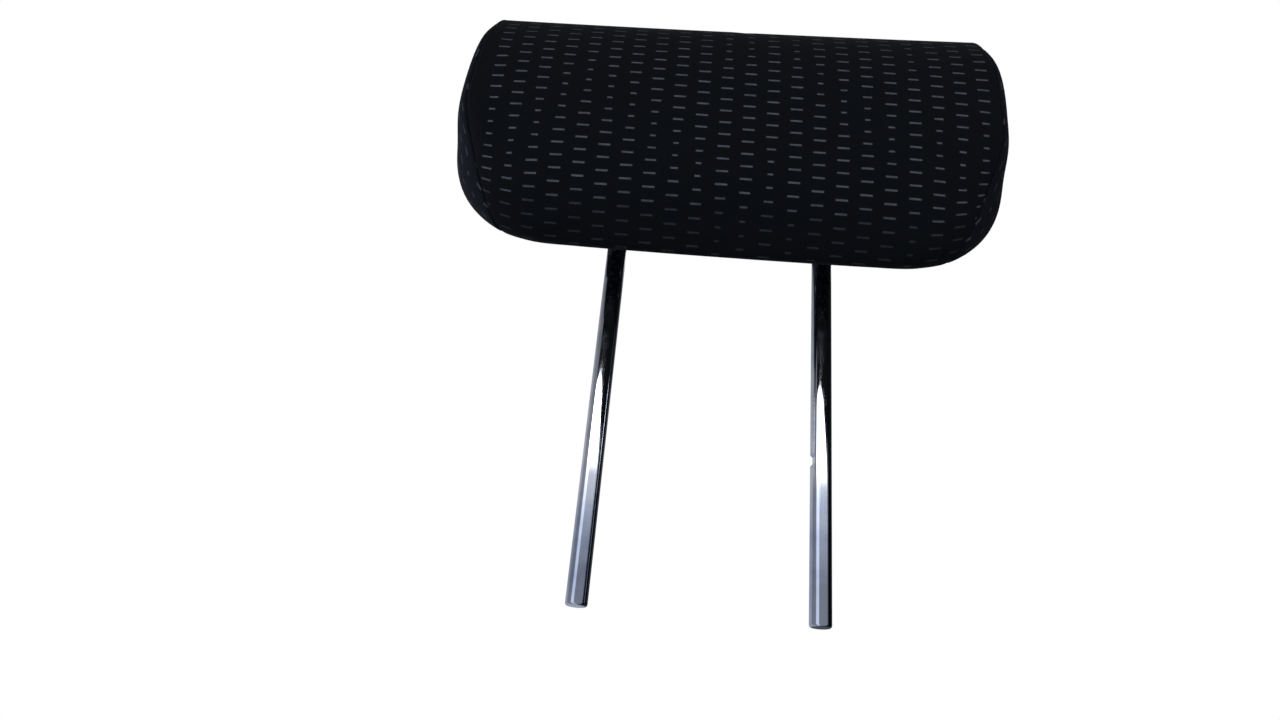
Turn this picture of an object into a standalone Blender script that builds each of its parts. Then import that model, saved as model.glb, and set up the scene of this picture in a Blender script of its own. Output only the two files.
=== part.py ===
"""Seat head restraint: a fabric covered foam pad on a bent steel bar with two posts.

The bar is one piece: two posts and the crossbar between them. The pad's plastic core is two
shells screwed together around the crossbar, on two nylon bushes and a spring clip whose friction
holds the pad at any tilt. Foam is slipped over the core, the cover over the foam, and a slotted
plate closes the underside. Metres, +Z up, the pad faces -Y. The origin lies midway between the
ends of the posts. Everything on the pad is modelled from the tilt axis.
"""
import math

import bmesh
import bpy
import numpy as np
from mathutils import Matrix, Vector

# Bar
POST_RADIUS = 0.00525
POST_SPACING = 0.112
TILT_AXIS_HEIGHT = 0.236
BEND_RADIUS = 0.018
END_CHAMFER = 0.0012
NOTCH_HEIGHT = 0.080
NOTCH_LENGTH = 0.0055
NOTCH_DEPTH = 0.0017
NOTCH_FLARE = 0.0015
NOTCH_CUT_LENGTH = 0.003
NOTCH_CUT_HALF_WIDTH = 0.008
STRAIGHT_STEPS = 8
BEND_STEPS = 8

# Pad, from the tilt axis
PAD_HALF_WIDTH = 0.1489
SECTION_CENTRE = (-0.016, 0.012)
END_REACH_TOP = 0.019
END_REACH_BOTTOM = 0.065
END_REACH_FRONT = 0.014
END_REACH_BACK = 0.030
END_FULLNESS = 2.17
COVER_THICKNESS = 0.002
GAP = 0.0003
SOFT_GAP = 0.0018
SEAM_GAP = 0.0008

# The pad's side outline, as (y, z) from the tilt axis: up the front, over the top, down the back,
# along the recess in the underside and round the lip that hangs in front of the posts
SECTION = (
    (-0.0335, -0.0626), (-0.0425, -0.0594), (-0.0498, -0.0490), (-0.0536, -0.0360),
    (-0.0567, -0.0142), (-0.0589, 0.0142), (-0.0589, 0.0426), (-0.0562, 0.0566),
    (-0.0490, 0.0702), (-0.0382, 0.0838), (-0.0180, 0.0904), (0.0042, 0.0853),
    (0.0222, 0.0684), (0.0310, 0.0432), (0.0330, 0.0150), (0.0310, -0.0050),
    (0.0250, -0.0200), (0.0170, -0.0295), (0.0100, -0.0334), (0.0040, -0.0340),
    (-0.0080, -0.0340), (-0.0170, -0.0342), (-0.0210, -0.0365), (-0.0228, -0.0420),
    (-0.0240, -0.0500), (-0.0270, -0.0590),
)
POINTS_PER_SPAN = 2
MIDDLE_SHARES = (-1, -0.6, -0.2, 0.2, 0.6, 1)
MAIN_SHARES = (1.0, 0.66, 0.33)
END_SHARES = (0.0, 0.15, 0.35, 0.56, 0.78)

# Core, from the tilt axis
WALL = 0.0025
CORE_HALF_WIDTH = 0.070
CORE_BOTTOM = -0.0290
CORE_TOP = 0.045
CORE_FRONT = -0.0203
CORE_BACK = 0.013
CORE_CORNER = 0.006
POCKET_BOTTOM = -0.048
BUSH_X = 0.026
BUSH_RADIUS = 0.0080
BUSH_FLANGE_RADIUS = 0.0098
BUSH_LENGTH = 0.015
BUSH_FLANGE = 0.0015
BUSH_SLIT = math.radians(24)
BUSH_STEPS = 24
RIB_HALF_HEIGHT = 0.0165
CORE_SCREW_PLACES = ((-0.060, 0.036), (0.060, 0.036), (-0.040, -0.0224), (0.040, -0.0224))
BOSS_RADIUS = 0.005
PLATE_BOSS_RADIUS = 0.0045
PLATE_BOSS_TOP = -0.0175
PLATE_BORE_TOP = -0.0195
CLIP_REST_NEAR = 0.0105

# Spring clip round the middle of the crossbar
CLIP_WIDTH = 0.016
CLIP_THICKNESS = 0.0012
CLIP_EAR_Y = 0.002
CLIP_EAR_END = 0.020
CLIP_SCREW_Z = 0.0145
CLIP_BEND_STEPS = 14

# Screws
SCREW_RADIUS = 0.0019
SCREW_BORE = 0.0023
SCREW_HEAD_RADIUS = 0.0038
SCREW_HEAD_HEIGHT = 0.0026
CORE_SCREW_LENGTH = 0.0225
CLIP_SCREW_LENGTH = 0.0085
PLATE_SCREW_LENGTH = 0.0150
SINK_SPARE = 0.0004
BORE_SPARE = 0.0008

# Underside: plate, its slots and the cover's window, from the tilt axis
PLATE_TOP = -0.0349
PLATE_BOTTOM = -0.0362
PLATE_HALF_WIDTH = 0.080
PLATE_FRONT = -0.0188
PLATE_BACK = 0.0102
PLATE_CORNER = 0.006
PLATE_SCREW_PLACE = (0.014, -0.008)
SLOT_HALF_WIDTH = 0.0064
SLOT_FRONT = -0.0166
SLOT_BACK = 0.0064
WINDOW_HALF_WIDTH = 0.076
WINDOW_FRONT = -0.0170
WINDOW_BACK = 0.0082
WINDOW_CORNER = 0.004
WINDOW_CUT = (-0.040, -0.027)
STRIP_HALF_LENGTH = 0.044
STRIP_WALL = 0.0009
STRIP_WIDTH = 0.0028
STRIP_HEIGHT = 0.0046

ROUND = 16
OVERSHOOT = 0.001

PAD = None


def clear_scene():
    for item in list(bpy.data.objects):
        bpy.data.objects.remove(item, do_unlink=True)


def finish_material(name, colour, roughness, metallic=0.0):
    material = bpy.data.materials.new(name)
    material.use_nodes = True
    shader = material.node_tree.nodes["Principled BSDF"]
    shader.inputs["Base Color"].default_value = (*colour, 1.0)
    shader.inputs["Roughness"].default_value = roughness
    shader.inputs["Metallic"].default_value = metallic
    return material


def place(name, bm, material, parent=None, location=(0, 0, 0), rotation=(0, 0, 0)):
    """Turn a bmesh into a named object in the scene."""
    mesh = bpy.data.meshes.new(name)
    bm.to_mesh(mesh)
    bm.free()
    return place_mesh(name, mesh, material, parent, location, rotation)


def place_mesh(name, mesh, material, parent=None, location=(0, 0, 0), rotation=(0, 0, 0)):
    item = bpy.data.objects.new(name, mesh)
    bpy.context.collection.objects.link(item)
    if material and not mesh.materials:
        mesh.materials.append(material)
    item.parent = parent
    item.location = location
    item.rotation_euler = rotation
    mesh.shade_smooth()
    mesh.set_sharp_from_angle(angle=math.radians(35))
    return item


def add_box(bm, low, high):
    made = bmesh.ops.create_cube(bm, size=1.0)
    size = [b - a for a, b in zip(low, high)]
    middle = [(a + b) / 2 for a, b in zip(low, high)]
    bmesh.ops.scale(bm, vec=size, verts=made["verts"])
    bmesh.ops.translate(bm, vec=middle, verts=made["verts"])
    return made["verts"]


def round_edges(bm, verts, along, width, segments=3):
    """Round the edges of a box that run along one axis (0, 1 or 2)."""
    edges = {edge for vert in verts for edge in vert.link_edges}
    chosen = []
    for edge in edges:
        span = edge.verts[1].co - edge.verts[0].co
        if abs(span[along]) > 0.99 * span.length:
            chosen.append(edge)
    bmesh.ops.bevel(bm, geom=chosen, offset=width, segments=segments, affect="EDGES", profile=0.5)


def add_rod(bm, start, end, radius, sides=ROUND):
    """A plain round rod between two points."""
    start, end = Vector(start), Vector(end)
    turn = (end - start).to_track_quat("Z", "Y").to_matrix().to_4x4()
    matrix = Matrix.Translation((start + end) / 2) @ turn
    bmesh.ops.create_cone(bm, cap_ends=True, segments=sides, radius1=radius, radius2=radius,
                          depth=(end - start).length, matrix=matrix)


def as_cutter(name, bm, parent):
    item = place(name, bm, None, parent)
    item.hide_render = True
    item.display_type = "WIRE"
    return item


def combine(item, other, operation):
    modifier = item.modifiers.new(operation.lower(), "BOOLEAN")
    modifier.operation = operation
    modifier.solver = "EXACT"
    modifier.object = other


def turned(outline, sides=12):
    """A closed turned body about Z from an outline of (radius, z) that starts and ends at radius 0."""
    bm = bmesh.new()
    rings = []
    for radius, z in outline:
        if radius == 0:
            rings.append([bm.verts.new((0, 0, z))])
            continue
        ring = []
        for k in range(sides):
            angle = 2 * math.pi * k / sides
            ring.append(bm.verts.new((radius * math.cos(angle), radius * math.sin(angle), z)))
        rings.append(ring)
    for lower, upper in zip(rings, rings[1:]):
        for k in range(sides):
            after = (k + 1) % sides
            corners = [lower[k % len(lower)], lower[after % len(lower)],
                       upper[after % len(upper)], upper[k % len(upper)]]
            bm.faces.new(list(dict.fromkeys(corners)))
    bmesh.ops.recalc_face_normals(bm, faces=bm.faces)
    return bm


# ---------------------------------------------------------------- bar

def bar_path():
    """Centre line of the bar in its own plane as (x, z, radius), from one post end to the other."""
    half = POST_SPACING / 2
    path = [(-half, 0.0, POST_RADIUS - END_CHAMFER), (-half, END_CHAMFER, POST_RADIUS)]
    for k in range(1, STRAIGHT_STEPS):
        height = END_CHAMFER + (TILT_AXIS_HEIGHT - BEND_RADIUS) * k / STRAIGHT_STEPS
        path.append((-half, height, POST_RADIUS))
    for k in range(BEND_STEPS + 1):
        angle = math.radians(90) * k / BEND_STEPS
        path.append((-half + BEND_RADIUS * (1 - math.cos(angle)),
                     TILT_AXIS_HEIGHT - BEND_RADIUS * (1 - math.sin(angle)), POST_RADIUS))
    return path + [(-x, z, radius) for x, z, radius in reversed(path)]


def make_post_bar(material):
    bm = bmesh.new()
    path = bar_path()
    rings = []
    for k, (x, z, radius) in enumerate(path):
        before = path[max(k - 1, 0)]
        after = path[min(k + 1, len(path) - 1)]
        along = Vector((after[0] - before[0], 0, after[1] - before[1])).normalized()
        if k in (0, 1, len(path) - 2, len(path) - 1):
            along = Vector((0, 0, 1 if k < 2 else -1))
        across = along.cross(Vector((0, 1, 0)))
        ring = []
        for step in range(ROUND):
            angle = 2 * math.pi * step / ROUND
            offset = across * radius * math.cos(angle) + Vector((0, radius * math.sin(angle), 0))
            ring.append(bm.verts.new(Vector((x, 0, z)) + offset))
        rings.append(ring)
    for ring, following in zip(rings, rings[1:]):
        for k in range(ROUND):
            after = (k + 1) % ROUND
            bm.faces.new((ring[k], ring[after], following[after], following[k]))
    bm.faces.new(rings[0])
    bm.faces.new(rings[-1])
    bmesh.ops.recalc_face_normals(bm, faces=bm.faces)
    bar = place("post_bar", bm, material)

    # The height lock's notch, cut square across the inner side of the right post
    notch = bmesh.new()
    inner = POST_SPACING / 2 - POST_RADIUS
    low = (inner - NOTCH_CUT_LENGTH, -NOTCH_CUT_HALF_WIDTH, NOTCH_HEIGHT - NOTCH_LENGTH / 2)
    high = (inner + NOTCH_DEPTH, NOTCH_CUT_HALF_WIDTH, NOTCH_HEIGHT + NOTCH_LENGTH / 2)
    verts = add_box(notch, low, high)
    for vert in verts:
        if vert.co.x < inner:
            vert.co.z += math.copysign(NOTCH_FLARE, vert.co.z - NOTCH_HEIGHT)
    combine(bar, as_cutter("notch_cutter", notch, None), "DIFFERENCE")


# ---------------------------------------------------------------- pad surface

def smooth_loop(corners, per_span):
    """Centripetal spline through a closed list of points, as an array of (y, z)."""
    count = len(corners)
    points = np.array(corners)
    loop = []
    for i in range(count):
        span = [points[(i + k - 1) % count] for k in range(4)]
        knots = [0.0]
        for first, second in zip(span, span[1:]):
            knots.append(knots[-1] + math.sqrt(np.linalg.norm(second - first)))
        for step in range(per_span):
            at = knots[1] + (knots[2] - knots[1]) * step / per_span
            level = span
            for width in (1, 2, 3):
                nearer = []
                for j in range(len(level) - 1):
                    low = j if width < 3 else 1
                    left, right = knots[low], knots[low + width if width < 3 else 2]
                    blend = (at - left) / (right - left)
                    nearer.append(level[j] * (1 - blend) + level[j + 1] * blend)
                level = nearer
            loop.append(level[0])
    return np.array(loop)


def reach_of_end(section):
    """How far from the pad's end each line of the section starts to curve inward."""
    offset = section - np.array(SECTION_CENTRE)
    length = np.linalg.norm(offset, axis=1)
    forward = -offset[:, 0] / length
    upward = offset[:, 1] / length
    reach = END_REACH_TOP * np.clip(upward, 0, 1) ** 2
    reach += END_REACH_BOTTOM * np.clip(-upward, 0, 1) ** 2
    reach += END_REACH_FRONT * np.clip(forward, 0, 1) ** 2
    reach += END_REACH_BACK * np.clip(-forward, 0, 1) ** 2
    return reach


def seam_turn(section):
    """Where the end seam runs: 0 at the start of the end's curve, 1 at the middle of the end."""
    offset = section - np.array(SECTION_CENTRE)
    angle = np.arctan2(offset[:, 1], -offset[:, 0])
    lower_corner = np.clip(np.cos(angle + math.radians(50)), 0, 1) ** 4
    return 0.14 + 0.22 * lower_corner


def inset_loop(loop, depth):
    """The same closed outline moved inward by a depth."""
    along = np.roll(loop, -1, axis=0) - np.roll(loop, 1, axis=0)
    along /= np.linalg.norm(along, axis=1)[:, None]
    inward = np.column_stack([along[:, 1], -along[:, 0]])
    return loop + inward * depth


def end_ring(section, reach, turn, side, depth=0.0):
    """One ring of the pad's end at a turn between 0 and 1, which may differ from line to line."""
    quarter = np.asarray(turn) * math.pi / 2
    shrink = np.cos(quarter) ** (2 / END_FULLNESS)
    x = PAD_HALF_WIDTH - depth - reach * (1 - np.sin(quarter) ** (2 / END_FULLNESS))
    centre = np.array(SECTION_CENTRE)
    flat = centre + (section - centre) * shrink[:, None]
    return np.column_stack([side * x, flat])


def middle_ring(section, reach, fraction):
    x = (PAD_HALF_WIDTH - reach) * fraction
    return np.column_stack([x, section])


def skin(rings, poles=()):
    """Join rings of points into a surface that faces out, with a pole at either end if given."""
    bm = bmesh.new()
    loops = [[bm.verts.new(point) for point in ring] for ring in rings]
    count = len(loops[0])
    for ring, following in zip(loops, loops[1:]):
        for k in range(count):
            after = (k + 1) % count
            bm.faces.new((ring[k], following[k], following[after], ring[after]))
    for loop, pole in zip((loops[0], loops[-1]), poles):
        if pole is None:
            continue
        tip = bm.verts.new(pole)
        for k in range(count):
            after = (k + 1) % count
            corners = (loop[k], loop[after], tip)
            bm.faces.new(corners if loop is loops[0] else corners[::-1])
    bm.normal_update()
    outward = 0.0
    middle = Vector((0, *SECTION_CENTRE))
    for face in bm.faces:
        outward += face.normal.dot(face.calc_center_median() - middle) * face.calc_area()
    if outward < 0:
        bmesh.ops.reverse_faces(bm, faces=bm.faces)
    bm.normal_update()
    return bm


def end_pole(side, depth=0.0):
    return (side * (PAD_HALF_WIDTH - depth), *SECTION_CENTRE)


def add_cloth_thickness(item):
    modifier = item.modifiers.new("thickness", "SOLIDIFY")
    modifier.thickness = COVER_THICKNESS
    modifier.offset = -1.0


def make_foam(section, reach, material):
    depth = COVER_THICKNESS + SOFT_GAP
    inner = inset_loop(section, depth)
    seam = seam_turn(section)
    turns = [seam * share for share in MAIN_SHARES[::-1]]
    turns += [seam + (1 - seam) * share for share in END_SHARES[1:]]
    rings = [end_ring(inner, reach, turn, -1, depth) for turn in reversed(turns)]
    rings += [middle_ring(inner, reach, fraction) for fraction in MIDDLE_SHARES]
    rings += [end_ring(inner, reach, turn, 1, depth) for turn in turns]
    foam = place("foam_pad", skin(rings, (end_pole(-1, depth), end_pole(1, depth))), material, PAD)

    pocket = bmesh.new()
    add_box(pocket, (-CORE_HALF_WIDTH - GAP, CORE_FRONT - GAP, POCKET_BOTTOM),
            (CORE_HALF_WIDTH + GAP, CORE_BACK + GAP, CORE_TOP + GAP))
    combine(foam, as_cutter("core_pocket_cutter", pocket, PAD), "DIFFERENCE")


def make_cover(section, reach, material):
    """The wrapped main panel and the two end panels, with the seam between them."""
    seam = seam_turn(section)
    half_gap = SEAM_GAP / 2 / (reach * math.pi / 2)
    main_edge = seam - half_gap
    end_edge = seam + half_gap
    turns = [main_edge * share for share in MAIN_SHARES]
    rings = [end_ring(section, reach, turn, -1) for turn in turns]
    rings += [middle_ring(section, reach, fraction) for fraction in MIDDLE_SHARES]
    rings += [end_ring(section, reach, turn, 1) for turn in reversed(turns)]
    main = place("main_cover_panel", skin(rings), material, PAD)
    add_cloth_thickness(main)
    window = bmesh.new()
    verts = add_box(window, (-WINDOW_HALF_WIDTH, WINDOW_FRONT, WINDOW_CUT[0]),
                    (WINDOW_HALF_WIDTH, WINDOW_BACK, WINDOW_CUT[1]))
    round_edges(window, verts, 2, WINDOW_CORNER)
    combine(main, as_cutter("window_cutter", window, PAD), "DIFFERENCE")

    for name, side in (("left_end_panel", -1), ("right_end_panel", 1)):
        rings = []
        for share in END_SHARES:
            rings.append(end_ring(section, reach, end_edge + (1 - end_edge) * share, side))
        poles = (None, end_pole(side))
        panel = place(name, skin(rings, poles), material, PAD)
        add_cloth_thickness(panel)


# ---------------------------------------------------------------- core

def core_shell(name, outer_y, split_y, material):
    """One half of the core: a tray open at the split, with bush ribs, screw bosses and slots."""
    facing = 1 if outer_y > split_y else -1
    low_y, high_y = sorted((outer_y, split_y))
    body = bmesh.new()
    verts = add_box(body, (-CORE_HALF_WIDTH, low_y, CORE_BOTTOM), (CORE_HALF_WIDTH, high_y, CORE_TOP))
    round_edges(body, verts, 1, CORE_CORNER)
    shell = place(name, body, material, PAD)

    cavity = bmesh.new()
    low_y, high_y = sorted((outer_y - facing * WALL, split_y - facing * 10 * OVERSHOOT))
    verts = add_box(cavity, (-CORE_HALF_WIDTH + WALL, low_y, CORE_BOTTOM + WALL),
                    (CORE_HALF_WIDTH - WALL, high_y, CORE_TOP - WALL))
    round_edges(cavity, verts, 1, CORE_CORNER - WALL)
    combine(shell, as_cutter(name + "_cavity", cavity, PAD), "DIFFERENCE")

    ribs = bmesh.new()
    inside = outer_y - facing * WALL / 2
    low_y, high_y = sorted((inside, split_y))
    rib_half = BUSH_LENGTH / 2 - BUSH_FLANGE - GAP
    for side in (-1, 1):
        x = side * BUSH_X
        add_box(ribs, (x - rib_half, low_y, -RIB_HALF_HEIGHT), (x + rib_half, high_y, RIB_HALF_HEIGHT))
    for x, z in CORE_SCREW_PLACES:
        add_rod(ribs, (x, inside, z), (x, split_y, z), BOSS_RADIUS)
    if facing > 0:
        for low_z, high_z in ((CLIP_REST_NEAR, CLIP_EAR_END), (-CLIP_EAR_END, -CLIP_REST_NEAR)):
            low_y = CLIP_EAR_Y + CLIP_THICKNESS / 2 + GAP
            add_box(ribs, (-CLIP_WIDTH / 2, low_y, low_z), (CLIP_WIDTH / 2, inside, high_z))
    else:
        x, y = PLATE_SCREW_PLACE
        for side in (-1, 1):
            add_rod(ribs, (side * x, y, CORE_BOTTOM + WALL / 2), (side * x, y, PLATE_BOSS_TOP),
                    PLATE_BOSS_RADIUS)
    combine(shell, as_cutter(name + "_ribs", ribs, PAD), "UNION")

    holes = bmesh.new()
    for side in (-1, 1):
        x = side * BUSH_X
        add_rod(holes, (x - rib_half - OVERSHOOT, 0, 0), (x + rib_half + OVERSHOOT, 0, 0),
                BUSH_RADIUS + GAP, BUSH_STEPS)
        slot_end = SLOT_BACK if facing > 0 else SLOT_FRONT + OVERSHOOT
        low_y, high_y = sorted((slot_end, split_y - facing * OVERSHOOT))
        x = side * POST_SPACING / 2
        slot_half = SLOT_HALF_WIDTH + OVERSHOOT
        add_box(holes, (x - slot_half, low_y, CORE_BOTTOM - OVERSHOOT),
                (x + slot_half, high_y, CORE_BOTTOM + WALL + OVERSHOOT))
    for x, z in CORE_SCREW_PLACES:
        if facing > 0:
            add_rod(holes, (x, split_y - OVERSHOOT, z), (x, outer_y + OVERSHOOT, z), SCREW_BORE)
        else:
            tip = CORE_BACK - SCREW_HEAD_HEIGHT - CORE_SCREW_LENGTH - BORE_SPARE
            add_rod(holes, (x, tip, z), (x, split_y + OVERSHOOT, z), SCREW_BORE)
    if facing > 0:
        for z in (-CLIP_SCREW_Z, CLIP_SCREW_Z):
            tip = CLIP_SCREW_LENGTH + CLIP_EAR_Y + BORE_SPARE
            add_rod(holes, (0, OVERSHOOT, z), (0, tip, z), SCREW_BORE)
    else:
        x, y = PLATE_SCREW_PLACE
        for side in (-1, 1):
            add_rod(holes, (side * x, y, CORE_BOTTOM - OVERSHOOT), (side * x, y, PLATE_BORE_TOP),
                    SCREW_BORE)
    combine(shell, as_cutter(name + "_holes", holes, PAD), "DIFFERENCE")

    if facing > 0:
        sinks = bmesh.new()
        for x, z in CORE_SCREW_PLACES:
            add_rod(sinks, (x, outer_y - SCREW_HEAD_HEIGHT - SINK_SPARE, z),
                    (x, outer_y + OVERSHOOT, z), SCREW_HEAD_RADIUS + SINK_SPARE)
        combine(shell, as_cutter(name + "_sinks", sinks, PAD), "DIFFERENCE")


def make_bushes(material):
    """Split nylon bushes: a flanged ring with a slit, turned about the crossbar."""
    bore = POST_RADIUS + GAP
    half = BUSH_LENGTH / 2
    lip = half - BUSH_FLANGE
    outline = ((bore, -half), (BUSH_FLANGE_RADIUS, -half), (BUSH_FLANGE_RADIUS, -lip),
               (BUSH_RADIUS, -lip), (BUSH_RADIUS, lip), (BUSH_FLANGE_RADIUS, lip),
               (BUSH_FLANGE_RADIUS, half), (bore, half))
    bm = bmesh.new()
    verts = [bm.verts.new((along, radius, 0)) for radius, along in outline]
    face = bm.faces.new(verts)
    turn = Matrix.Rotation(BUSH_SLIT / 2, 3, "X")
    bmesh.ops.rotate(bm, cent=(0, 0, 0), matrix=turn, verts=verts)
    bmesh.ops.spin(bm, geom=[face, *face.edges, *face.verts], cent=(0, 0, 0), axis=(1, 0, 0),
                   angle=2 * math.pi - BUSH_SLIT, steps=BUSH_STEPS, use_duplicate=False)
    bmesh.ops.recalc_face_normals(bm, faces=bm.faces)
    left = place("left_pivot_bush", bm, material, PAD, (-BUSH_X, 0, 0))
    place_mesh("right_pivot_bush", left.data, material, PAD, (BUSH_X, 0, 0))


def clip_line():
    """Middle line of the clip's strip as (y, z): ear, loop round the front of the bar, ear."""
    radius = POST_RADIUS + GAP + CLIP_THICKNESS / 2
    start = math.acos(CLIP_EAR_Y / radius)
    line = [(CLIP_EAR_Y, CLIP_EAR_END)]
    for k in range(CLIP_BEND_STEPS + 1):
        angle = start + (2 * math.pi - 2 * start) * k / CLIP_BEND_STEPS
        line.append((radius * math.cos(angle), radius * math.sin(angle)))
    line.append((CLIP_EAR_Y, -CLIP_EAR_END))
    return [Vector(point) for point in line]


def make_friction_clip(material):
    line = clip_line()
    sides = ([], [])
    for k, point in enumerate(line):
        before = (point - line[k - 1]).normalized() if k else None
        after = (line[k + 1] - point).normalized() if k + 1 < len(line) else None
        before = before or after
        after = after or before
        normals = [Vector((step.y, -step.x)) for step in (before, after)]
        mitre = (normals[0] + normals[1]).normalized()
        reach = CLIP_THICKNESS / 2 / mitre.dot(normals[0])
        sides[0].append(point + mitre * reach)
        sides[1].append(point - mitre * reach)
    outline = sides[0] + sides[1][::-1]
    bm = bmesh.new()
    verts = [bm.verts.new((-CLIP_WIDTH / 2, y, z)) for y, z in outline]
    face = bm.faces.new(verts)
    made = bmesh.ops.extrude_face_region(bm, geom=[face])
    moved = [item for item in made["geom"] if isinstance(item, bmesh.types.BMVert)]
    bmesh.ops.translate(bm, vec=(CLIP_WIDTH, 0, 0), verts=moved)
    bmesh.ops.recalc_face_normals(bm, faces=bm.faces)
    clip = place("friction_clip", bm, material, PAD)
    holes = bmesh.new()
    for z in (-CLIP_SCREW_Z, CLIP_SCREW_Z):
        add_rod(holes, (0, 0, z), (0, 2 * CLIP_EAR_Y, z), SCREW_BORE)
    combine(clip, as_cutter("clip_holes", holes, PAD), "DIFFERENCE")


def screw_mesh(length):
    """Pan head screw with a round drive socket, head up, its seat at z = 0."""
    head = SCREW_HEAD_RADIUS
    top = SCREW_HEAD_HEIGHT
    outline = ((0, top * 0.35), (head * 0.42, top * 0.35), (head * 0.42, top), (head * 0.72, top * 0.95),
               (head, top * 0.45), (head, 0), (SCREW_RADIUS, 0), (SCREW_RADIUS, -length * 0.82),
               (SCREW_RADIUS * 0.3, -length), (0, -length))
    bm = turned(outline)
    mesh = bpy.data.meshes.new("screw")
    bm.to_mesh(mesh)
    bm.free()
    return mesh


def make_screws(material):
    quarter = math.radians(90)
    core_mesh = screw_mesh(CORE_SCREW_LENGTH)
    seat_y = CORE_BACK - SCREW_HEAD_HEIGHT - 0.0002
    for k, (x, z) in enumerate(CORE_SCREW_PLACES):
        place_mesh(f"core_screw_{k + 1}", core_mesh, material, PAD, (x, seat_y, z), (-quarter, 0, 0))
    clip_mesh = screw_mesh(CLIP_SCREW_LENGTH)
    seat_y = CLIP_EAR_Y - CLIP_THICKNESS / 2 - GAP
    for k, z in enumerate((CLIP_SCREW_Z, -CLIP_SCREW_Z)):
        place_mesh(f"clip_screw_{k + 1}", clip_mesh, material, PAD, (0, seat_y, z), (quarter, 0, 0))
    plate_mesh = screw_mesh(PLATE_SCREW_LENGTH)
    x, y = PLATE_SCREW_PLACE
    for k, side in enumerate((-1, 1)):
        place_mesh(f"plate_screw_{k + 1}", plate_mesh, material, PAD,
                   (side * x, y, PLATE_BOTTOM - GAP), (2 * quarter, 0, 0))


# ---------------------------------------------------------------- underside

def make_plate(material):
    bm = bmesh.new()
    verts = add_box(bm, (-PLATE_HALF_WIDTH, PLATE_FRONT, PLATE_BOTTOM),
                    (PLATE_HALF_WIDTH, PLATE_BACK, PLATE_TOP))
    round_edges(bm, verts, 2, PLATE_CORNER, 4)
    plate = place("underside_plate", bm, material, PAD)
    x, y = PLATE_SCREW_PLACE
    posts = bmesh.new()
    for side in (-1, 1):
        add_rod(posts, (side * x, y, PLATE_TOP - OVERSHOOT), (side * x, y, CORE_BOTTOM - GAP),
                PLATE_BOSS_RADIUS)
    combine(plate, as_cutter("plate_standoffs", posts, PAD), "UNION")
    holes = bmesh.new()
    for side in (-1, 1):
        centre = side * POST_SPACING / 2
        verts = add_box(holes, (centre - SLOT_HALF_WIDTH, SLOT_FRONT, PLATE_BOTTOM - OVERSHOOT),
                        (centre + SLOT_HALF_WIDTH, SLOT_BACK, PLATE_TOP + OVERSHOOT))
        round_edges(holes, verts, 2, SLOT_HALF_WIDTH - 0.0003, 5)
        add_rod(holes, (side * x, y, PLATE_BOTTOM - OVERSHOOT), (side * x, y, CORE_BOTTOM + OVERSHOOT),
                SCREW_BORE)
    combine(plate, as_cutter("plate_holes", holes, PAD), "DIFFERENCE")


def make_strips(material):
    """J-shaped strips sewn to the cover's two edges, hooked between plate and core."""
    top = CORE_BOTTOM - GAP
    low = top - STRIP_HEIGHT
    strips = (("front_closing_strip", WINDOW_FRONT, 1), ("rear_closing_strip", WINDOW_BACK, -1))
    for name, edge, inward in strips:
        first = edge + inward * GAP
        outline = ((0, 0), (0, STRIP_HEIGHT), (STRIP_WIDTH, STRIP_HEIGHT),
                   (STRIP_WIDTH, STRIP_HEIGHT * 0.4), (STRIP_WIDTH - STRIP_WALL, STRIP_HEIGHT * 0.4),
                   (STRIP_WIDTH - STRIP_WALL, STRIP_HEIGHT - STRIP_WALL),
                   (STRIP_WALL, STRIP_HEIGHT - STRIP_WALL), (STRIP_WALL, 0))
        bm = bmesh.new()
        verts = [bm.verts.new((-STRIP_HALF_LENGTH, first + inward * y, low + z)) for y, z in outline]
        face = bm.faces.new(verts)
        made = bmesh.ops.extrude_face_region(bm, geom=[face])
        moved = [item for item in made["geom"] if isinstance(item, bmesh.types.BMVert)]
        bmesh.ops.translate(bm, vec=(2 * STRIP_HALF_LENGTH, 0, 0), verts=moved)
        bmesh.ops.recalc_face_normals(bm, faces=bm.faces)
        place(name, bm, material, PAD)


clear_scene()
PAD = bpy.data.objects.new("tilt_axis", None)
PAD.location = (0, 0, TILT_AXIS_HEIGHT)
bpy.context.collection.objects.link(PAD)

chrome = finish_material("chrome_plated_steel", (0.62, 0.63, 0.64), 0.08, 1.0)
fabric = finish_material("woven_seat_fabric", (0.010, 0.011, 0.014), 0.9)
foam_material = finish_material("moulded_foam", (0.62, 0.56, 0.38), 0.95)
core_plastic = finish_material("core_polypropylene", (0.05, 0.05, 0.055), 0.5)
trim_plastic = finish_material("trim_polypropylene", (0.014, 0.014, 0.015), 0.45)
nylon = finish_material("bush_nylon", (0.75, 0.73, 0.66), 0.4)
spring_steel = finish_material("spring_steel", (0.28, 0.28, 0.29), 0.35, 1.0)
zinc_steel = finish_material("zinc_plated_steel", (0.55, 0.55, 0.50), 0.35, 1.0)

pad_section = smooth_loop(SECTION, POINTS_PER_SPAN)
pad_reach = reach_of_end(pad_section)

make_post_bar(chrome)
core_shell("front_core_shell", CORE_FRONT, -GAP / 2, core_plastic)
core_shell("rear_core_shell", CORE_BACK, GAP / 2, core_plastic)
make_bushes(nylon)
make_friction_clip(spring_steel)
make_screws(zinc_steel)
make_foam(pad_section, pad_reach, foam_material)
make_cover(pad_section, pad_reach, fabric)
make_plate(trim_plastic)
make_strips(trim_plastic)
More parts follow.
